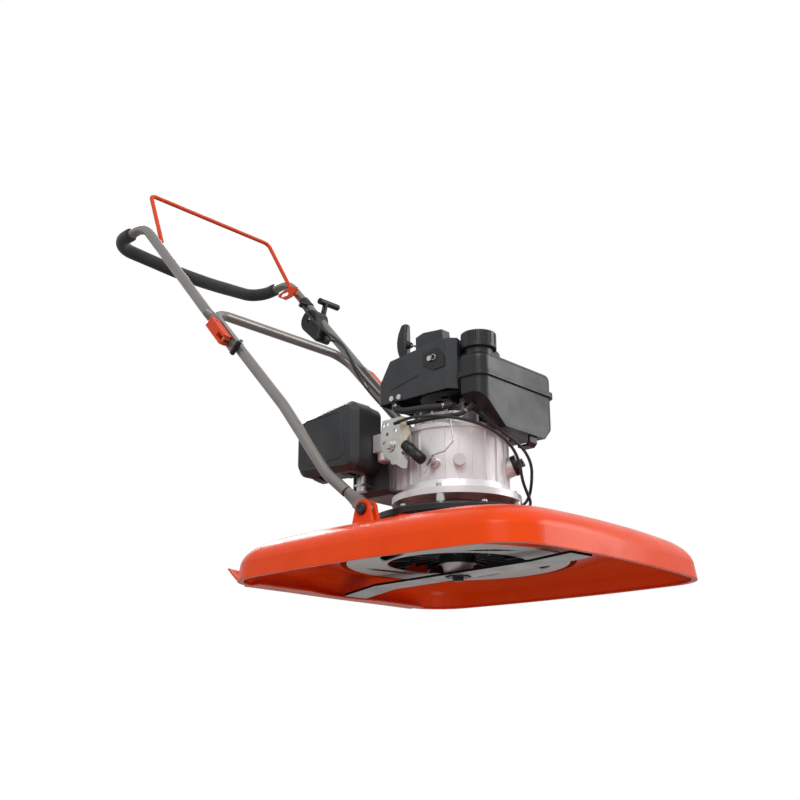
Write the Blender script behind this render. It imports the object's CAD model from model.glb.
"""Looks of a petrol hover mower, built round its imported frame.

Lengths in the piece classes are millimetres about the crankshaft's axis: z = 0 at the rim of the
deck, -Y at the nose and +Y at the operator. Workshop.place turns them into metres of the frame.
"""
import logging
import math
from dataclasses import dataclass
from enum import Enum

import bpy
import numpy as np
from mathutils import Matrix, Vector


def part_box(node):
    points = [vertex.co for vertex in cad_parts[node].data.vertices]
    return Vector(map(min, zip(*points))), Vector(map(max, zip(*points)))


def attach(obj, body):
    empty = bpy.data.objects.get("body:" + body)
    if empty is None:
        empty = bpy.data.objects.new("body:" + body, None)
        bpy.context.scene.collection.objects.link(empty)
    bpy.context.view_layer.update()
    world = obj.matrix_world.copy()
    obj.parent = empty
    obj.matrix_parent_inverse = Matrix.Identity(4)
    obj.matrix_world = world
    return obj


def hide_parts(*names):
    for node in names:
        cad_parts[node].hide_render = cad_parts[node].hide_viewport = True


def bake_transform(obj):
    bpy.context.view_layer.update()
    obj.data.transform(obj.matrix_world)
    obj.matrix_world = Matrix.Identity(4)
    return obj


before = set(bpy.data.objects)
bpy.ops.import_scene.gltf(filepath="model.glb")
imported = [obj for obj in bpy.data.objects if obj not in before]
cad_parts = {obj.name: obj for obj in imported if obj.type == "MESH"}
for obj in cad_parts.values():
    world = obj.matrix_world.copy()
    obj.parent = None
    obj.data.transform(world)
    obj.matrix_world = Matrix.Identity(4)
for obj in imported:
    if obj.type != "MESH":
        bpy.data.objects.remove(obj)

Point = tuple[float, float, float]
Route = tuple[Point, ...]
Profile = tuple[tuple[float, float], ...]
Socket = bpy.types.NodeSocket
Tree = bpy.types.NodeTree

log = logging.getLogger("hover_mower")
MM = 0.001
FULL_TURN = 2 * math.pi
WHITE = (1, 1, 1, 1)
# The mottling of a colour has about 22 clouds to the metre.
MOTTLE_SCALE = 22.0
BEVEL_SAMPLES = 6
COAT_ROUGHNESS = 0.12


def linear(code: str) -> tuple[float, float, float, float]:
    """Turns an sRGB hex colour into linear RGBA.

    A channel at or under 0.04045 is divided by 12.92. Any other takes the sum of itself and
    0.055, over 1.055, to the power 2.4.

    Args:
        code: six hex digits.
    Returns:
        Red, green, blue and alpha.
    """
    channels = [int(code[i:i + 2], 16) / 255 for i in (0, 2, 4)]
    red, green, blue = (c / 12.92 if c <= 0.04045 else ((c + 0.055) / 1.055) ** 2.4
                        for c in channels)
    return (red, green, blue, 1.0)


class Relief(Enum):
    """Ways a surface was made, which set its fine height field."""

    MOULDED = "moulded"
    PEEL = "peel"
    BRUSHED = "brushed"
    CAST = "cast"
    CELLS = "cells"
    TWIST = "twist"
    PLEATS = "pleats"


@dataclass(frozen=True)
class Finish:
    """One real material.

    Grain, height and bevel are millimetres. A moulded grain is a few tenths of a millimetre
    wide on the real machine, and is drawn somewhat coarser so that it shows.
    """

    name: str
    colour: str
    second: str
    roughness: float
    spread: float
    relief: Relief
    grain: float
    height: float
    metallic: float = 0.0
    coat: float = 0.0
    sheen: float = 0.0
    edge: str = ""
    bevel: float = 0.5
    specular: float = 0.5
    sides: str = ""


# Glossy injection-moulded orange: deep, even colour, faint flow mottling and a polished skin.
DECK_ORANGE = Finish(
    "moulded_orange", "FA4C00", "F04200", roughness=0.27, spread=0.05, relief=Relief.MOULDED,
    grain=1.6, height=0.006, coat=0.06, edge="FF6420", bevel=1.0, specular=0.16)
# Orange powder coat on wire and castings: orange-peel ripple, softer gloss.
ORANGE_COAT = Finish(
    "orange_powder_coat", "E8480F", "D93E0A", roughness=0.34, spread=0.08, relief=Relief.PEEL,
    grain=0.9, height=0.02, coat=0.05, edge="F26A38", bevel=0.6, specular=0.25)
# Grey enamelled steel tube: satin, with a metallic sparkle under the coat.
TUBE_GREY = Finish(
    "grey_enamelled_tube", "8A8682", "7C7874", roughness=0.3, spread=0.08, relief=Relief.PEEL,
    grain=0.7, height=0.01, metallic=0.55, coat=0.3, edge="7A7672", bevel=0.8)
# Dark grey moulded cover with a fine spark-eroded grain.
COVER_GREY = Finish(
    "grained_cover", "3A3D3F", "323537", roughness=0.4, spread=0.08, relief=Relief.MOULDED,
    grain=0.5, height=0.02, edge="50545A", bevel=1.2, specular=0.35)
# Black blow-moulded and injection-moulded plastic, finely grained.
BLACK_PLASTIC = Finish(
    "black_moulding", "222426", "1B1D1F", roughness=0.36, spread=0.08, relief=Relief.MOULDED,
    grain=0.45, height=0.02, edge="3B3E41", bevel=1.0, specular=0.38)
# Matt black rubber, slightly dusty.
BLACK_RUBBER = Finish(
    "black_rubber", "1B1C1D", "232425", roughness=0.62, spread=0.08, relief=Relief.MOULDED,
    grain=0.8, height=0.02, sheen=0.15, edge="2C2D2E", bevel=0.4)
# Closed-cell foam: pitted skin with a soft sheen.
FOAM = Finish(
    "grip_foam_cells", "252627", "1A1B1C", roughness=0.82, spread=0.08, relief=Relief.CELLS,
    grain=0.9, height=0.14, sheen=0.35, bevel=0.0)
# Off-white nylon of the fan plate: clean, with a low gloss.
PALE_PLASTIC = Finish(
    "pale_nylon", "ECE8E4", "DEDAD5", roughness=0.36, spread=0.08, relief=Relief.MOULDED,
    grain=0.9, height=0.015, edge="EEEBE6", bevel=0.6)
# Cream nylon of the control arm: a warmer white than the fan plate's.
CREAM_PLASTIC = Finish(
    "cream_nylon", "D8D0BC", "CCC3AC", roughness=0.4, spread=0.06, relief=Relief.MOULDED,
    grain=0.6, height=0.015, edge="E8E2D2", bevel=0.4)
# Twisted rope: pale and dark fibres laid in strands.
ROPE = Finish(
    "starter_cord", "C9C6C0", "55524E", roughness=0.78, spread=0.08, relief=Relief.TWIST,
    grain=1.6, height=0.12, sheen=0.3, bevel=0.0)
# Pleated filter paper: dull and straw-coloured, in sharp even folds.
PAPER = Finish(
    "filter_paper", "D6C79B", "BFAE7E", roughness=0.85, spread=0.05, relief=Relief.PLEATS,
    grain=4.0, height=0.5, bevel=0.0)
# Sand-cast and die-cast aluminium: bright grey with a granular skin and darker pockets.
CASTING = Finish(
    "cast_aluminium", "E6E2E3", "CFCBCC", roughness=0.4, spread=0.12, relief=Relief.CAST,
    grain=1.4, height=0.05, metallic=0.6, edge="ECEAEA", bevel=0.8)
# Bright zinc-plated steel, cool and slightly brushed.
ZINC = Finish(
    "zinc_plate", "D2D2D0", "B4B3AE", roughness=0.26, spread=0.08, relief=Relief.BRUSHED,
    grain=0.6, height=0.01, metallic=1.0, edge="F0F0EE", bevel=0.3)
# Blackened steel of bolts, pins and small brackets: dark, with bright worn edges.
DARK_STEEL = Finish(
    "blackened_steel", "2B2B2C", "3A3939", roughness=0.36, spread=0.1, relief=Relief.BRUSHED,
    grain=0.8, height=0.015, metallic=0.5, edge="55555A", bevel=0.4)
# Rolled steel of the muffler's guard: bright, with long rolling lines.
SHEET_STEEL = Finish(
    "rolled_steel", "CFCBC8", "A9A4A0", roughness=0.3, spread=0.12, relief=Relief.BRUSHED,
    grain=1.2, height=0.02, metallic=0.9, edge="F0EEEC", bevel=0.5)
# Blade bar: its faces are bright and rolled, and its cut sides are painted black.
BLADE_STEEL = Finish(
    "blade_steel", "DAD7D4", "BDB9B5", roughness=0.32, spread=0.1, relief=Relief.BRUSHED,
    grain=1.4, height=0.02, metallic=0.55, edge="F4F2F0", bevel=0.3, sides="17181A")
# Stove-blacked exhaust steel: matt, and browner where it runs hot.
EXHAUST = Finish(
    "exhaust_black", "3A3734", "4A4038", roughness=0.6, spread=0.1, relief=Relief.CAST,
    grain=1.0, height=0.03, metallic=0.4, edge="5B544D", bevel=0.6)

FINISH_OF_NODES: tuple[tuple[Finish, tuple[str, ...]], ...] = (
    (DECK_ORANGE, ("deck_shell",)),
    (ORANGE_COAT, ("bail", "cam_lever_right", "cam_lever_left")),
    (TUBE_GREY, ("lower_handle", "upper_handle")),
    (COVER_GREY, ("fan_cover", "cylinder_shroud", "air_box_case", "air_box_cover")),
    (BLACK_PLASTIC, ("intake_ring", "fuel_tank_lower", "fuel_tank_upper", "fuel_cap",
                     "starter_grip", "throttle_housing", "throttle_lever", "leg_end_caps",
                     "oil_plug", "impeller", "starter_reel", "tank_bracket")),
    (PALE_PLASTIC, ("impeller_plate", "blade_spacer")),
    (CREAM_PLASTIC, ("throttle_arm",)),
    (PAPER, ("air_filter",)),
    (CASTING, ("engine_sump", "crankcase", "cylinder", "cylinder_head", "carburettor",
               "flywheel", "intake_pipe")),
    (ZINC, ("ring_screws", "mounting_bolts", "control_plate", "control_bolt", "governor_arm",
            "governor_rod", "cover_bolts", "fold_bolts", "air_box_stay", "crankshaft",
            "spark_plug")),
    (DARK_STEEL, ("tank_hook", "bail_bracket", "handle_pins", "blade_washer", "blade_bolt",
                  "head_cover")),
    (SHEET_STEEL, ("muffler_guard",)),
    (BLADE_STEEL, ("blade",)),
    (EXHAUST, ("muffler",)),
)


class Painter:
    """Makes one node material for each finish and gives it to objects.

    Inputs are named by number where their names repeat: a Map Range reads the span from 1 to 2
    and gives the span from 3 to 4, and a colour Mix has its two colours at 6 and 7.
    """

    def __init__(self) -> None:
        """Starts with no material made."""
        self.made: dict[str, bpy.types.Material] = {}

    @staticmethod
    def node(tree: Tree, kind: str, links: dict | None = None, values: dict | None = None,
             **props: object) -> bpy.types.Node:
        """Adds a node.

        Args:
            tree: the node tree.
            kind: the node's type name.
            links: input name or number to the socket that feeds it.
            values: input name or number to a plain value.
            props: the node's own settings.
        Returns:
            The node.
        """
        made = tree.nodes.new(kind)
        for key, value in props.items():
            setattr(made, key, value)
        for key, value in (values or {}).items():
            made.inputs[key].default_value = value
        for key, socket in (links or {}).items():
            tree.links.new(socket, made.inputs[key])
        return made

    def height(self, tree: Tree, finish: Finish, point: Socket) -> Socket:
        """Adds the height field of a finish, whose scale is one over its grain in metres.

        Args:
            tree: the node tree.
            finish: the finish.
            point: the socket of the coordinates.
        Returns:
            The socket of the height, from 0 to 1.
        """
        scale = 1 / (finish.grain * MM)
        if finish.relief in (Relief.MOULDED, Relief.PEEL):
            detail = 3.0 if finish.relief is Relief.MOULDED else 1.0
            return self.node(tree, "ShaderNodeTexNoise", {"Vector": point},
                             {"Scale": scale, "Detail": detail, "Roughness": 0.55}).outputs["Fac"]
        if finish.relief is Relief.BRUSHED:
            # Drawn out along X, so that the noise turns to lines.
            drawn = self.node(tree, "ShaderNodeMapping", {"Vector": point},
                              {"Scale": (0.08, 1.0, 1.0)})
            return self.node(tree, "ShaderNodeTexNoise", {"Vector": drawn.outputs[0]},
                             {"Scale": scale, "Detail": 4.0, "Roughness": 0.6}).outputs["Fac"]
        if finish.relief is Relief.CAST:
            grains = self.node(tree, "ShaderNodeTexVoronoi", {"Vector": point}, {"Scale": scale})
            noise = self.node(tree, "ShaderNodeTexNoise", {"Vector": point},
                              {"Scale": scale * 0.6, "Detail": 5.0, "Roughness": 0.65})
            return self.node(tree, "ShaderNodeMath",
                             {0: grains.outputs["Distance"], 1: noise.outputs["Fac"]},
                             operation="MULTIPLY").outputs[0]
        if finish.relief is Relief.CELLS:
            pits = self.node(tree, "ShaderNodeTexVoronoi", {"Vector": point}, {"Scale": scale})
            return self.node(tree, "ShaderNodeMath", {0: pits.outputs["Distance"]}, {1: 1.6},
                             operation="POWER").outputs[0]
        if finish.relief is Relief.PLEATS:
            return self.node(tree, "ShaderNodeTexWave", {"Vector": point},
                             {"Scale": scale / 20, "Distortion": 0.2},
                             bands_direction="Y").outputs["Fac"]
        return self.node(tree, "ShaderNodeTexWave", {"Vector": point},
                         {"Scale": scale / 6, "Distortion": 1.2, "Detail": 3.0},
                         bands_direction="DIAGONAL").outputs["Fac"]

    def worn_edges(self, tree: Tree, finish: Finish, soft: Socket, base: Socket) -> Socket:
        """Mixes in the edge's colour where the rounded normal turns away from the true one.

        Args:
            tree: the node tree.
            finish: the finish.
            soft: the socket of the rounded normal.
            base: the socket of the colour so far.
        Returns:
            The socket of the mixed colour.
        """
        true = self.node(tree, "ShaderNodeNewGeometry")
        turn = self.node(tree, "ShaderNodeVectorMath", {0: soft, 1: true.outputs["Normal"]},
                         operation="DOT_PRODUCT")
        worn = self.node(tree, "ShaderNodeMapRange", {0: turn.outputs["Value"]},
                         {1: 0.985, 2: 0.85, 3: 0.0, 4: 0.7})
        return self.node(tree, "ShaderNodeMix", {0: worn.outputs[0], 6: base},
                         {7: linear(finish.edge)}, data_type="RGBA").outputs[2]

    def painted_sides(self, tree: Tree, finish: Finish, base: Socket) -> Socket:
        """Mixes in the colour of a flat bar's sides, the faces whose normal is level.

        Args:
            tree: the node tree.
            finish: the finish.
            base: the socket of the colour so far.
        Returns:
            The socket of the mixed colour.
        """
        true = self.node(tree, "ShaderNodeNewGeometry")
        normal = self.node(tree, "ShaderNodeSeparateXYZ", {0: true.outputs["Normal"]})
        rise = self.node(tree, "ShaderNodeMath", {0: normal.outputs[2]}, operation="ABSOLUTE")
        level = self.node(tree, "ShaderNodeMapRange", {0: rise.outputs[0]},
                          {1: 0.35, 2: 0.5, 3: 1.0, 4: 0.0})
        return self.node(tree, "ShaderNodeMix", {0: level.outputs[0], 6: base},
                         {7: linear(finish.sides)}, data_type="RGBA").outputs[2]

    def material(self, finish: Finish) -> bpy.types.Material:
        """Makes the material of a finish on its first use.

        Args:
            finish: the finish.
        Returns:
            Its material.
        """
        if finish.name in self.made:
            return self.made[finish.name]
        material = bpy.data.materials.new(finish.name)
        material.use_nodes = True
        tree = material.node_tree
        shader = tree.nodes["Principled BSDF"]
        point = self.node(tree, "ShaderNodeTexCoord").outputs["Object"]
        field = self.height(tree, finish, point)
        # Slow mottling of the colour, as regrind, handling and light dust leave it.
        cloud = self.node(tree, "ShaderNodeTexNoise", {"Vector": point},
                          {"Scale": MOTTLE_SCALE, "Detail": 6.0}).outputs["Fac"]
        share = self.node(tree, "ShaderNodeMath", {0: cloud, 1: field}, operation="MULTIPLY")
        mottle = self.node(tree, "ShaderNodeMapRange", {0: share.outputs[0]}, {1: 0.12, 2: 0.42})
        colour = self.node(tree, "ShaderNodeMix", {0: mottle.outputs[0]},
                           {6: linear(finish.colour), 7: linear(finish.second)},
                           data_type="RGBA").outputs[2]
        bump = self.node(tree, "ShaderNodeBump", {"Height": field},
                         {"Strength": 1.0, "Distance": finish.height * MM})
        if finish.bevel:
            soft = self.node(tree, "ShaderNodeBevel", values={"Radius": finish.bevel * MM},
                             samples=BEVEL_SAMPLES).outputs[0]
            tree.links.new(soft, bump.inputs["Normal"])
            if finish.edge:
                colour = self.worn_edges(tree, finish, soft, colour)
        if finish.sides:
            colour = self.painted_sides(tree, finish, colour)
        rough = self.node(tree, "ShaderNodeMapRange", {0: cloud},
                          {1: 0.3, 2: 0.7, 3: max(0.05, finish.roughness - finish.spread),
                           4: finish.roughness + finish.spread})
        tree.links.new(colour, shader.inputs["Base Color"])
        tree.links.new(rough.outputs[0], shader.inputs["Roughness"])
        tree.links.new(bump.outputs[0], shader.inputs["Normal"])
        shader.inputs["Metallic"].default_value = finish.metallic
        shader.inputs["Coat Weight"].default_value = finish.coat
        shader.inputs["Coat Roughness"].default_value = COAT_ROUGHNESS
        shader.inputs["Sheen Weight"].default_value = finish.sheen
        shader.inputs["Specular IOR Level"].default_value = finish.specular
        self.made[finish.name] = material
        return material

    def paint(self, obj: bpy.types.Object, finish: Finish) -> None:
        """Gives an object a finish as its only material.

        Args:
            obj: the object.
            finish: the finish.
        """
        faces = obj.data.polygons
        obj.data.materials.clear()
        obj.data.materials.append(self.material(finish))
        faces.foreach_set("material_index", np.zeros(len(faces), dtype=np.int32))


def run_along(line: np.ndarray) -> np.ndarray:
    """Distance along a line at each of its rows, as the running sum of the steps between them."""
    return np.concatenate([[0.0], np.cumsum(np.linalg.norm(np.diff(line, axis=0), axis=1))])


class Workshop:
    """Turns grids of millimetre points into finished pieces of the frame."""

    def __init__(self, painter: Painter) -> None:
        """Takes the crankshaft's axis from the frame.

        Args:
            painter: maker of the materials.
        """
        low, high = (np.array(corner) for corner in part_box("crankshaft"))
        self.origin = np.array([0.0, (low[1] + high[1]) / 2, 0.0])
        self.painter = painter

    def place(self, points: np.ndarray) -> np.ndarray:
        """Turns millimetres about the crankshaft into metres of the frame."""
        return np.asarray(points, float) * MM + self.origin

    def grid(self, name: str, points: np.ndarray, finish: Finish) -> bpy.types.Object:
        """Skins a two-parameter grid whose rows are closed rings.

        Each face joins two neighbours of a row with the same two of the next row, and a fan to
        the middle of the first and of the last row closes the ends.

        Args:
            name: the object's name.
            points: rows by columns by 3, in millimetres.
            finish: its material.
        Returns:
            The object, at the origin and unscaled.
        """
        rows, columns = points.shape[:2]
        here = np.arange(rows * columns).reshape(rows, columns)
        ahead = np.roll(here, -1, axis=1)
        first, last = rows * columns, rows * columns + 1
        quads = np.stack([here[:-1], ahead[:-1], ahead[1:], here[1:]], axis=-1).reshape(-1, 4)
        start = np.stack([ahead[0], here[0], np.full(columns, first)], axis=-1)
        end = np.stack([here[-1], ahead[-1], np.full(columns, last)], axis=-1)
        vertices = np.vstack([points.reshape(-1, 3), points[0].mean(axis=0),
                              points[-1].mean(axis=0)])
        mesh = bpy.data.meshes.new(name)
        mesh.from_pydata(self.place(vertices).tolist(), [],
                         quads.tolist() + start.tolist() + end.tolist())
        mesh.validate()
        mesh.polygons.foreach_set("use_smooth", np.ones(len(mesh.polygons), dtype=bool))
        mesh.update()
        obj = bpy.data.objects.new(name, mesh)
        bpy.context.scene.collection.objects.link(obj)
        self.painter.paint(obj, finish)
        log.info("%s: %d faces", name, len(mesh.polygons))
        return obj

    def spline(self, name: str, points: np.ndarray) -> np.ndarray:
        """Draws a NURBS spline of the third order that starts and ends on its end points.

        Args:
            name: name of the piece that it is for.
            points: its control points, in millimetres.
        Returns:
            The points of its line, in millimetres.
        """
        curve = bpy.data.curves.new(name + "_line", "CURVE")
        curve.dimensions = "3D"
        curve.resolution_u = 10
        run = curve.splines.new("NURBS")
        run.points.add(len(points) - 1)
        run.points.foreach_set("co", np.hstack([points, np.ones((len(points), 1))]).ravel())
        run.order_u = 3
        run.use_endpoint_u = True
        holder = bpy.data.objects.new(name + "_line", curve)
        bpy.context.scene.collection.objects.link(holder)
        mesh = bpy.data.meshes.new_from_object(holder)
        flat = np.empty(len(mesh.vertices) * 3)
        mesh.vertices.foreach_get("co", flat)
        bpy.data.objects.remove(holder)
        bpy.data.meshes.remove(mesh)
        bpy.data.curves.remove(curve)
        return flat.reshape(-1, 3)

    @staticmethod
    def frames(line: np.ndarray) -> tuple[np.ndarray, np.ndarray, np.ndarray]:
        """Sets up axes along a line that don't twist round it.

        Each side is the last one less its part along the new tangent, made one long.

        Args:
            line: rows of points.
        Returns:
            The tangent, the side and the up direction of each row.
        """
        tangent = np.gradient(line, axis=0)
        tangent /= np.linalg.norm(tangent, axis=1, keepdims=True)
        side = np.empty_like(tangent)
        # Any direction that no line here starts along.
        start = np.cross(tangent[0], (0.31, 0.2, 0.93))
        side[0] = start / np.linalg.norm(start)
        for row in range(1, len(line)):
            carried = side[row - 1] - tangent[row] * np.dot(side[row - 1], tangent[row])
            side[row] = carried / np.linalg.norm(carried)
        return tangent, side, np.cross(tangent, side)

    def tube(self, name: str, line: np.ndarray, radius: np.ndarray | float, finish: Finish,
             columns: int = 20, lobes: int = 0, lay: float = 0.0,
             depth: float = 0.0) -> bpy.types.Object:
        """Makes a round piece along a line.

        A point stands off the line by the radius, along the cosine of its angle times the side
        plus the sine times the up direction. With lobes, the radius is cut by depth times half
        of one less the cosine of lobes times the angle, turned on by the distance over lay.

        Args:
            name: the object's name.
            line: its centre line, in millimetres.
            radius: one radius, or one for each row.
            finish: its material.
            columns: points round each row.
            lobes: strands that show round it.
            lay: millimetres for one turn of a strand.
            depth: share of the radius between strands.
        Returns:
            The object.
        """
        _, side, up = self.frames(line)
        angle = np.linspace(0, FULL_TURN, columns, endpoint=False)[None, :]
        reach = np.broadcast_to(np.asarray(radius, float), (len(line),))[:, None]
        reach = reach * np.ones_like(angle)
        if lobes:
            phase = lobes * (angle - FULL_TURN * run_along(line)[:, None] / lay)
            reach = reach * (1 - depth * 0.5 * (1 - np.cos(phase)))
        outward = (np.cos(angle)[..., None] * side[:, None, :]
                   + np.sin(angle)[..., None] * up[:, None, :])
        return self.grid(name, line[:, None, :] + reach[..., None] * outward, finish)

    def lathe(self, name: str, profile: Profile, origin: np.ndarray | Point,
              axis: np.ndarray | Point, finish: Finish, columns: int = 40) -> bpy.types.Object:
        """Turns a profile about an axis.

        A point is the origin, plus its row's distance along the axis, plus its row's radius
        across the axis at the angle of its column.

        Args:
            name: the object's name.
            profile: rows of distance along the axis and radius, in millimetres.
            origin: where the distances start.
            axis: direction of the axis, of any length.
            finish: its material.
            columns: points round each row.
        Returns:
            The object.
        """
        direction = np.asarray(axis, float) / np.linalg.norm(axis)
        across = np.cross(direction, (0.2, 0.3, 0.9))
        across /= np.linalg.norm(across)
        other = np.cross(direction, across)
        angle = np.linspace(0, FULL_TURN, columns, endpoint=False)[:, None]
        ring = np.cos(angle) * across + np.sin(angle) * other
        rows = np.array(profile, float)[:, :, None, None]
        points = np.asarray(origin, float) + rows[:, 0] * direction + rows[:, 1] * ring
        return self.grid(name, points, finish)

    @staticmethod
    def rounded(points: np.ndarray, radii: list[float], step: float) -> np.ndarray:
        """Rounds the corners of a line of straight runs.

        Each corner becomes the arc that touches both runs, whose tangent points lie the radius
        times the tangent of half the turn from the corner.

        Args:
            points: the ends and corners.
            radii: radius at each corner.
            step: distance between the rows that come back.
        Returns:
            Rows at even distances along the rounded line.
        """
        parts = [points[:1]]
        for before, corner, after, radius in zip(points, points[1:], points[2:], radii):
            first = (corner - before) / np.linalg.norm(corner - before)
            second = (after - corner) / np.linalg.norm(after - corner)
            half = math.acos(float(np.clip(np.dot(first, second), -1, 1))) / 2
            inward = second - first
            centre = corner + inward / np.linalg.norm(inward) * radius / math.cos(half)
            start = corner - first * radius * math.tan(half) - centre
            turn = np.linspace(0, 2 * half, 24)[:, None]
            parts.append(centre + start * np.cos(turn) + first * radius * np.sin(turn))
        parts.append(points[-1:])
        line = np.vstack(parts)
        run = run_along(line)
        even = np.linspace(0, run[-1], int(run[-1] / step) + 1)
        return np.stack([np.interp(even, run, line[:, k]) for k in range(3)], axis=1)


@dataclass
class FoamGrip:
    """Foam sleeve round the operator's bar."""

    radius: float = 13.9
    edge: float = 3.0
    route: Route = ((-198.4, 676, 754.06), (-198.4, 737, 750), (0, 718, 728), (198.4, 737, 750),
                    (198.4, 676, 754.06))
    bends: tuple[float, ...] = (40.0, 500.0, 40.0)
    step: float = 2.0

    def build(self, shop: Workshop) -> None:
        """Makes a sleeve with rounded ends, whose skin swells by two slow sines along it.

        Args:
            shop: maker of the pieces.
        """
        line = shop.rounded(np.array(self.route, float), list(self.bends), self.step)
        run = np.arange(len(line)) * self.step
        left = np.minimum(run, run[-1] - run)
        share = np.clip(left / self.edge, 0, 1)
        round_over = np.sqrt(np.clip(1 - (1 - share) ** 2, 0, 1))
        swell = 0.12 * np.sin(run / 37) + 0.08 * np.sin(run / 13 + 1)
        radius = (self.radius - 0.2 + swell) - self.edge * 0.8 * (1 - round_over)
        piece = shop.tube("foam_sleeve", line, radius, FOAM, columns=48)
        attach(piece, "upper_handle")
        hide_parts("grip_foam")


@dataclass
class HeldCable:
    """Control cable held at both ends, drawn as two tubes that bend where the handle hinges."""

    name: str
    points: Route
    radius: float = 2.5
    part_y: float = 240.0
    low_blend: tuple[Point, Point] = ((150, 10, 130), (158, 135, 215))
    high_blend: tuple[Point, Point] = ((153, 322, 410), (165, 412, 528))
    ferrule: Profile = ((0, 1.4), (0.2, 2.6), (1.5, 3.0), (9, 3.0), (10, 3.4), (11.4, 3.4),
                        (12, 3.0))

    def build(self, shop: Workshop) -> None:
        """Splits the spline along the lower leg, far from both hinges, and caps its ends.

        Args:
            shop: maker of the pieces.
        """
        line = shop.spline(self.name, np.array(self.points, float))
        split = int(np.argmax(line[:, 1] > self.part_y))
        for part, run, bodies, ends in (
            ("engine_run", line[:split + 1], ("chassis", "lower_handle"), self.low_blend),
            ("handle_run", line[split:], ("lower_handle", "upper_handle"), self.high_blend),
        ):
            piece = shop.tube(f"{self.name}_{part}", run, self.radius, BLACK_RUBBER, columns=16)
            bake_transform(piece)
            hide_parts(self.name)
        for part, tip, inner, body in (
            ("engine_ferrule", line[0], line[6], "chassis"),
            ("handle_ferrule", line[-1], line[-7], "upper_handle"),
        ):
            piece = shop.lathe(f"{self.name}_{part}", self.ferrule, tip, inner - tip, DARK_STEEL,
                               columns=24)
            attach(piece, body)


@dataclass
class Hose:
    """Hose held at both ends on the engine, with wire clips near its ends."""

    name: str
    node: str
    points: Route
    radius: float
    bead: float = 0.25
    wire: float = 0.7
    clip_turns: float = 1.4
    clip_rise: float = 1.4

    def build(self, shop: Workshop) -> None:
        """Makes a tube with a bead at each end, and two clips that are helices of round wire.

        Args:
            shop: maker of the pieces.
        """
        line = shop.spline(self.name, np.array(self.points, float))
        run = run_along(line)
        left = np.minimum(run, run[-1] - run)
        radius = self.radius - self.bead + self.bead * np.exp(-(left / 3.0) ** 2)
        piece = shop.tube(self.name, line, radius, BLACK_RUBBER, columns=28)
        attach(piece, "chassis")
        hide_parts(self.node)
        _, side, up = shop.frames(line)
        turn = np.linspace(0.2, FULL_TURN * self.clip_turns, 60)[:, None]
        along = np.linspace(-self.clip_rise, self.clip_rise, 60)[:, None]
        for part, row in (("clip_low", 5), ("clip_high", len(line) - 6)):
            ring = np.cos(turn) * side[row] + np.sin(turn) * up[row]
            rise = np.cross(side[row], up[row]) * along
            path = line[row] + (self.radius + 0.5) * ring + rise
            clip = shop.tube(f"{self.name}_{part}", path, self.wire, ZINC, columns=10)
            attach(clip, "chassis")


@dataclass
class PlugBoot:
    """Spark plug boot and its lead, whose route is counted from the plug."""

    plug: Point = (62.3, 160.0, 199.0)
    profile: Profile = ((0, 5.2), (0, 8.4), (1, 8.9), (4, 8.9), (5, 8.0), (7, 8.0), (8, 8.9),
                        (11, 8.9), (12, 8.0), (14, 8.0), (16, 8.6), (19, 8.4), (21, 6.5),
                        (21.6, 3.0))
    lead: Route = ((13.5, 0, 0), (13.7, 0, 23), (13.7, -1, 49), (12, -20, 67), (7, -52, 73),
                   (2, -82, 77), (0, -106, 79))
    lead_radius: float = 3.4

    def build(self, shop: Workshop) -> None:
        """Makes a ribbed boot about the plug, and a lead that rises behind the cover.

        Args:
            shop: maker of the pieces.
        """
        boot = shop.lathe("plug_boot", self.profile, self.plug, (1, 0, 0), BLACK_RUBBER,
                          columns=48)
        line = shop.spline("plug_lead", np.array(self.plug) + np.array(self.lead))
        lead = shop.tube("plug_lead", line, self.lead_radius, BLACK_RUBBER, columns=24)
        for piece in (boot, lead):
            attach(piece, "chassis")
            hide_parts("plug_cap")


@dataclass
class StarterRope:
    """Rope between the guide and the grip, in three laid strands."""

    slope: float = 20.0
    mouth: Point = (-62.0, 24.0, 392.0)
    back: float = 12.0
    reach: float = 20.0
    radius: float = 2.0
    strands: int = 3
    lay: float = 14.0
    depth: float = 0.22

    def build(self, shop: Workshop) -> None:
        """Makes a straight rope that stretches as the grip is pulled.

        Args:
            shop: maker of the pieces.
        """
        lean = math.radians(self.slope)
        direction = np.array([0, math.cos(lean), math.sin(lean)])
        along = np.linspace(-self.back, self.reach, 130)[:, None]
        line = np.array(self.mouth) + along * direction
        piece = shop.tube("laid_rope", line, self.radius, ROPE, columns=36, lobes=self.strands,
                          lay=self.lay, depth=self.depth)
        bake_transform(piece)
        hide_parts("starter_rope")


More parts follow.
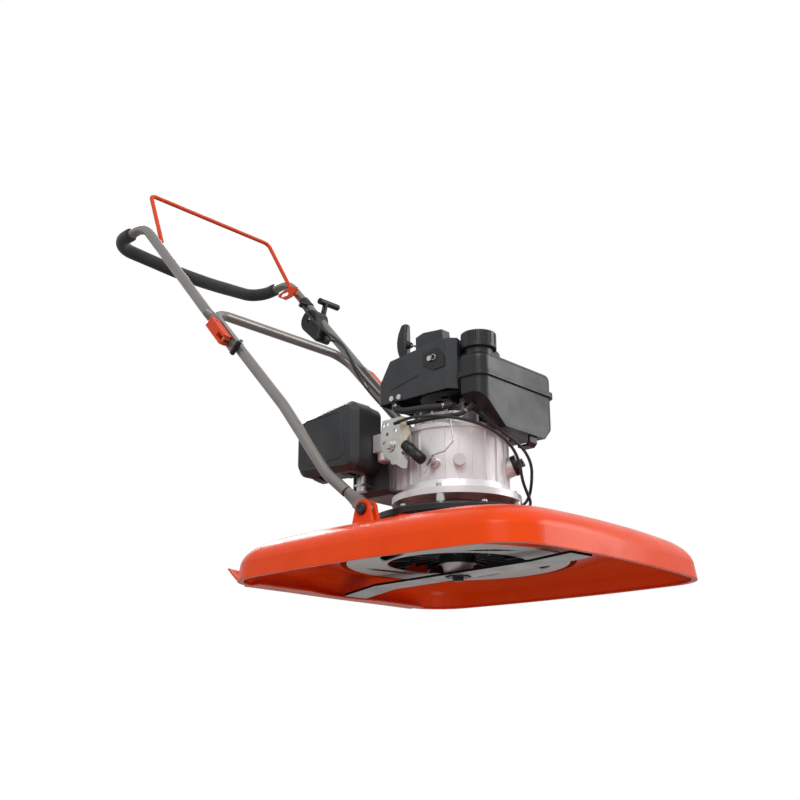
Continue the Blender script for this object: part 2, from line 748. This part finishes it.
@dataclass
class Fasteners:
    """Small screws, sleeves and springs that the frame leaves to the looks."""

    throttle_screw: Point = (175.6, 536, 641)
    pin_cap: Point = (186.2, 42, 100)
    sleeve_start: Point = (-106.0, 18.5, 212.2)
    sleeve_end: Point = (-106.0, -15.5, 182.6)
    sleeve: Profile = ((-1, 7.0), (-0.4, 8.9), (10, 8.9), (11, 9.8), (16, 9.8), (17, 8.9),
                       (30, 8.9), (31, 9.4), (35, 9.4), (36, 8.9), (46, 8.9), (47, 7.0))
    clip_centre: Point = (-93.4, -31.0, 353.0)
    clip_radius: float = 4.6
    clip_wire: float = 0.8
    spring_low: Point = (-98.5, -16, 187)
    spring_high: Point = (-98.5, 30, 206)
    spring_radius: float = 3.0
    spring_wire: float = 0.55
    spring_turns: int = 12

    def screw(self, shop: Workshop, name: str, at: Point, side: int, radius: float,
              height: float, body: str, finish: Finish) -> None:
        """Makes a pan head with a sunk middle, whose axis is level and across the machine.

        Args:
            shop: maker of the pieces.
            name: the object's name.
            at: middle of its seat.
            side: 1 where it faces +X, -1 where it faces -X.
            radius: radius of the head.
            height: height of the head.
            body: the body that it rides on.
            finish: its material.
        """
        profile = ((0, radius), (height * 0.7, radius), (height, radius * 0.84),
                   (height, radius * 0.45), (height * 0.45, radius * 0.4))
        piece = shop.lathe(name, profile, at, (side, 0, 0), finish, columns=48)
        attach(piece, body)

    def governor_spring(self, shop: Workshop) -> None:
        """Makes a helix of round wire, whose ends draw in to its axis.

        Args:
            shop: maker of the pieces.
        """
        low, high = np.array(self.spring_low, float), np.array(self.spring_high, float)
        share = np.linspace(0, 1, self.spring_turns * 18)[:, None]
        axis = (high - low) / np.linalg.norm(high - low)
        side = np.cross(axis, (1.0, 0.1, 0.0))
        side /= np.linalg.norm(side)
        up = np.cross(axis, side)
        reach = self.spring_radius * np.clip(np.minimum(share, 1 - share) * 9, 0.05, 1)
        turn = FULL_TURN * self.spring_turns * share
        line = low + share * (high - low) + reach * (np.cos(turn) * side + np.sin(turn) * up)
        piece = shop.tube("governor_spring", line, self.spring_wire, ZINC, columns=8)
        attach(piece, "chassis")

    def cable_sleeve(self, shop: Workshop) -> None:
        """Makes the black stepped sleeve that holds the throttle cable's end on the pale arm.

        Args:
            shop: maker of the pieces.
        """
        start, end = np.array(self.sleeve_start), np.array(self.sleeve_end)
        sleeve = shop.lathe("arm_sleeve", self.sleeve, start, end - start, BLACK_PLASTIC)
        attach(sleeve, "throttle_arm")

    def cover_clip(self, shop: Workshop) -> None:
        """Makes the wire ring on the fan cover's bracket, which is not quite closed.

        Args:
            shop: maker of the pieces.
        """
        turn = np.linspace(0.4, FULL_TURN + 0.1, 40)[:, None]
        circle = np.cos(turn) * np.array([0, 1, 0.0]) + np.sin(turn) * np.array([0, 0, 1.0])
        ring = np.array(self.clip_centre) + self.clip_radius * circle
        clip = shop.tube("cover_spring_clip", ring, self.clip_wire, ZINC, columns=10)
        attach(clip, "chassis")

    def build(self, shop: Workshop) -> None:
        """Sets them where the photograph shows them.

        Args:
            shop: maker of the pieces.
        """
        self.screw(shop, "throttle_screw", self.throttle_screw, -1, 4.2, 2.2, "upper_handle",
                   ZINC)
        x, y, z = self.pin_cap
        for side, name in ((-1, "pin_cap_right"), (1, "pin_cap_left")):
            self.screw(shop, name, (side * x, y, z), side, 7.4, 1.3, "chassis", DARK_STEEL)
        self.cable_sleeve(shop)
        self.cover_clip(shop)
        self.governor_spring(shop)


@dataclass
class BoxTrim:
    """Raised bead round the air box's plain panel, and its two clips."""

    face_x: float = -130.6
    panel: Profile = ((134, 208), (224, 205), (232, 284), (140, 288))
    corner_radius: float = 12.0
    bead_radius: float = 1.3
    clip_places: tuple[float, ...] = (150.0, 214.0)
    clip_half_width: float = 8.0
    clip_section: Profile = (
        (-88, 181.5), (-98, 182.5), (-110, 184.6), (-119, 188.5), (-123, 193.5), (-124, 196.0),
        (-121.5, 196.0), (-120.6, 193.8), (-117.4, 190.0), (-109.5, 186.6), (-98, 184.8),
        (-88, 184.2))

    def build(self, shop: Workshop) -> None:
        """Makes a bead round four rounded corners, and clips that are a section drawn along Y.

        Args:
            shop: maker of the pieces.
        """
        path = np.array([(self.face_x, y, z) for y, z in self.panel])
        middle = (path[3] + path[0]) / 2
        line = shop.rounded(np.vstack([middle, path, middle]), [self.corner_radius] * 4, 2.0)
        bead = shop.tube("panel_bead", line, self.bead_radius, COVER_GREY, columns=12)
        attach(bead, "air_box_cover")
        across = np.linspace(-self.clip_half_width, self.clip_half_width, 9)
        for number, y in enumerate(self.clip_places):
            rows = np.array([[(x, y + w, z) for x, z in self.clip_section] for w in across])
            clip = shop.grid(f"box_clip_{number}", rows, DARK_STEEL)
            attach(clip, "air_box_cover")


@dataclass(frozen=True)
class Lamp:
    """Square soft box. Places and size are metres, power is watts."""

    name: str
    at: Point
    target: Point
    size: float
    power: float

    def build(self) -> None:
        """Hangs the soft box so that it looks at its target."""
        data = bpy.data.lights.new(self.name, "AREA")
        data.shape, data.size, data.energy = "SQUARE", self.size, self.power
        lamp = bpy.data.objects.new(self.name, data)
        bpy.context.scene.collection.objects.link(lamp)
        lamp.location = self.at
        aim = Vector(self.target) - Vector(self.at)
        lamp.rotation_euler = aim.to_track_quat("-Z", "Y").to_euler()


@dataclass
class Studio:
    """Camera, lamps, background and floor. Angles are degrees, the floor's sizes are metres."""

    azimuth: float = -48.57
    elevation: float = -16.94
    roll: float = -0.23
    lens: float = 52.81
    sensor: float = 36.0
    eye: Point = (-1479.16, -1182.13, -268.01)
    floor_reach: float = 20.0
    floor_drop: float = 0.001
    lamps: tuple[Lamp, ...] = (
        Lamp("key", (-2.2, -1.6, 2.4), (0, 0, 0.2), 1.6, 46),
        Lamp("fill", (2.0, -2.2, 1.4), (0, -0.1, 0.2), 1.4, 26),
        Lamp("rim", (1.2, 2.4, 2.2), (0, 0.1, 0.3), 1.2, 30),
        Lamp("under", (-1.4, -2.0, -1.4), (0, -0.2, 0.05), 1.2, 15),
    )

    def camera(self, shop: Workshop) -> None:
        """Sets the camera where the photograph was taken from.

        Args:
            shop: turns the eye's place into the frame's.
        """
        a, e, roll = (math.radians(v) for v in (self.azimuth, self.elevation, self.roll))
        back = Vector((math.sin(a) * math.cos(e), -math.cos(a) * math.cos(e), math.sin(e)))
        level = Vector((math.cos(a), math.sin(a), 0))
        upright = level.cross(-back)
        right = math.cos(roll) * level + math.sin(roll) * upright
        up = -math.sin(roll) * level + math.cos(roll) * upright
        data = bpy.data.cameras.new("camera")
        data.lens, data.sensor_width = self.lens, self.sensor
        data.clip_start, data.clip_end = 0.05, 50.0
        camera = bpy.data.objects.new("camera", data)
        bpy.context.scene.collection.objects.link(camera)
        turn = Matrix((right, up, back)).transposed().to_4x4()
        camera.matrix_world = Matrix.Translation(Vector(shop.place(self.eye))) @ turn
        bpy.context.scene.camera = camera

    def world(self) -> None:
        """Makes a world that is white to the camera, bright overhead and dim underneath."""
        world = bpy.data.worlds.new("studio")
        bpy.context.scene.world = world
        world.use_nodes = True
        tree = world.node_tree
        tree.nodes.clear()
        node = Painter.node
        path = node(tree, "ShaderNodeLightPath").outputs
        seen = node(tree, "ShaderNodeMath",
                    {0: path["Is Camera Ray"], 1: path["Is Transmission Ray"]},
                    operation="MAXIMUM")
        point = node(tree, "ShaderNodeTexCoord").outputs["Generated"]
        rise = node(tree, "ShaderNodeSeparateXYZ", {0: point}).outputs[2]
        light = node(tree, "ShaderNodeMapRange", {0: rise}, {1: -0.35, 2: 0.5, 3: 0.2, 4: 0.6})
        gloss = node(tree, "ShaderNodeMapRange", {0: rise}, {1: -0.3, 2: 0.3, 3: 0.3, 4: 0.85})
        plain = node(tree, "ShaderNodeMix",
                     {0: path["Is Glossy Ray"], 2: light.outputs[0], 3: gloss.outputs[0]})
        strength = node(tree, "ShaderNodeMix", {0: seen.outputs[0], 2: plain.outputs[0]},
                        {3: 1.0})
        back = node(tree, "ShaderNodeBackground", {"Strength": strength.outputs[0]},
                    {"Color": WHITE})
        node(tree, "ShaderNodeOutputWorld", {0: back.outputs[0]})

    def floor(self) -> None:
        """Lays a pale floor that fades to white, a little under the rim of the deck.

        It shows only from above, because the photograph looks up from under it.
        """
        far, down = self.floor_reach, -self.floor_drop
        mesh = bpy.data.meshes.new("floor")
        mesh.from_pydata([(-far, -far, down), (far, -far, down), (far, far, down),
                          (-far, far, down)], [], [(0, 1, 2, 3)])
        floor = bpy.data.objects.new("floor", mesh)
        bpy.context.scene.collection.objects.link(floor)
        material = bpy.data.materials.new("pale_floor")
        material.use_nodes = True
        tree = material.node_tree
        tree.nodes.clear()
        node = Painter.node
        path = node(tree, "ShaderNodeLightPath").outputs
        face = node(tree, "ShaderNodeNewGeometry").outputs
        front = node(tree, "ShaderNodeMath", {1: face["Backfacing"]}, {0: 1.0},
                     operation="SUBTRACT")
        shown = node(tree, "ShaderNodeMath", {0: front.outputs[0], 1: path["Is Camera Ray"]},
                     operation="MULTIPLY")
        clear = node(tree, "ShaderNodeBsdfTransparent")
        noise = node(tree, "ShaderNodeTexNoise", values={"Scale": 3.0})
        tone = node(tree, "ShaderNodeMix", {0: noise.outputs["Fac"]},
                    {6: linear("F2F2F2"), 7: linear("F6F6F6")}, data_type="RGBA")
        lit = node(tree, "ShaderNodeBsdfDiffuse", {"Color": tone.outputs[2]})
        even = node(tree, "ShaderNodeEmission", values={"Color": WHITE, "Strength": 1.0})
        place = node(tree, "ShaderNodeTexCoord").outputs["Object"]
        away = node(tree, "ShaderNodeVectorMath", {0: place}, operation="LENGTH")
        fade = node(tree, "ShaderNodeMapRange", {0: away.outputs["Value"]},
                    {1: 0.8, 2: 3.5, 3: 0.35, 4: 1.0})
        pale = node(tree, "ShaderNodeMixShader",
                    {0: fade.outputs[0], 1: lit.outputs[0], 2: even.outputs[0]})
        mix = node(tree, "ShaderNodeMixShader",
                   {0: shown.outputs[0], 1: clear.outputs[0], 2: pale.outputs[0]})
        node(tree, "ShaderNodeOutputMaterial", {0: mix.outputs[0]})
        mesh.materials.append(material)

    def build(self, shop: Workshop) -> None:
        """Sets up the whole studio.

        Args:
            shop: turns the camera's place into the frame's.
        """
        bpy.context.scene.view_settings.view_transform = "Standard"
        self.camera(shop)
        self.world()
        self.floor()
        for lamp in self.lamps:
            lamp.build()


# Control points of the two cables, from the engine to the handle.
THROTTLE_ROUTE: Route = (
    (-109, 40, 251), (-110, 12, 255), (-108, -24, 252), (-95, -58, 248), (-70, -88, 240),
    (-38, -106, 229), (-4, -114, 212), (18, -116, 186), (26, -114, 156), (48, -108, 138),
    (80, -92, 131), (110, -66, 130), (132, -30, 132), (146, 14, 138), (154, 58, 152),
    (158, 96, 176), (161, 128, 208), (162, 164, 248), (160, 204, 291), (162, 242, 330),
    (161, 284, 367), (158, 322, 406), (157, 356, 444), (159, 384, 483), (163, 402, 514),
    (170, 424, 543), (178, 450, 567), (183, 474, 578), (186, 496, 583), (190, 509.4, 589.6),
)
BRAKE_ROUTE: Route = (
    (-54, -96, 256), (-38, -102, 241), (-14, -107, 229), (12, -111, 220), (34, -116, 206),
    (47, -119, 184), (53, -114, 161), (66, -101, 144), (88, -80, 139), (114, -54, 138),
    (134, -18, 141), (147, 24, 150), (152, 66, 168), (154, 102, 197), (153, 138, 233),
    (155, 174, 274), (153, 210, 313), (155, 248, 351), (153, 286, 389), (150, 322, 427),
    (149, 354, 462), (152, 379, 490), (156, 398, 518), (162, 420, 547), (167, 449, 572),
    (169, 482, 596), (168, 512, 622), (169, 548, 663), (176.9, 563.4, 679.1),
)
# Control points of the engine's two hoses.
BREATHER_ROUTE: Route = (
    (-84, 60, 296), (-84, 60, 285), (-85, 40, 277), (-86, 14, 275), (-88, -12, 272),
    (-82, -36, 270), (-70, -52, 274),
)
FUEL_ROUTE: Route = (
    (-72, 86, 247), (-72, 86, 259), (-79, 62, 261), (-83, 36, 256), (-86, 8, 254),
    (-85, -24, 254), (-82, -54, 252), (-76, -80, 252), (-62.2, -86, 269.3),
)


def main() -> None:
    """Paints the frame's nodes, adds the modelled pieces and the studio, and hands over."""
    logging.basicConfig(level=logging.INFO)
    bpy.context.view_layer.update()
    painter = Painter()
    for finish, nodes in FINISH_OF_NODES:
        for node in nodes:
            painter.paint(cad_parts[node], finish)
    shop = Workshop(painter)
    FoamGrip().build(shop)
    HeldCable("throttle_cable", THROTTLE_ROUTE).build(shop)
    HeldCable("brake_cable", BRAKE_ROUTE).build(shop)
    Hose("breather_hose", "breather_tube", BREATHER_ROUTE, 6.0).build(shop)
    Hose("fuel_line", "fuel_hose", FUEL_ROUTE, 4.0).build(shop)
    PlugBoot().build(shop)
    StarterRope().build(shop)
    BoxTrim().build(shop)
    Fasteners().build(shop)
    Studio().build(shop)


if __name__ == "__main__":
    main()
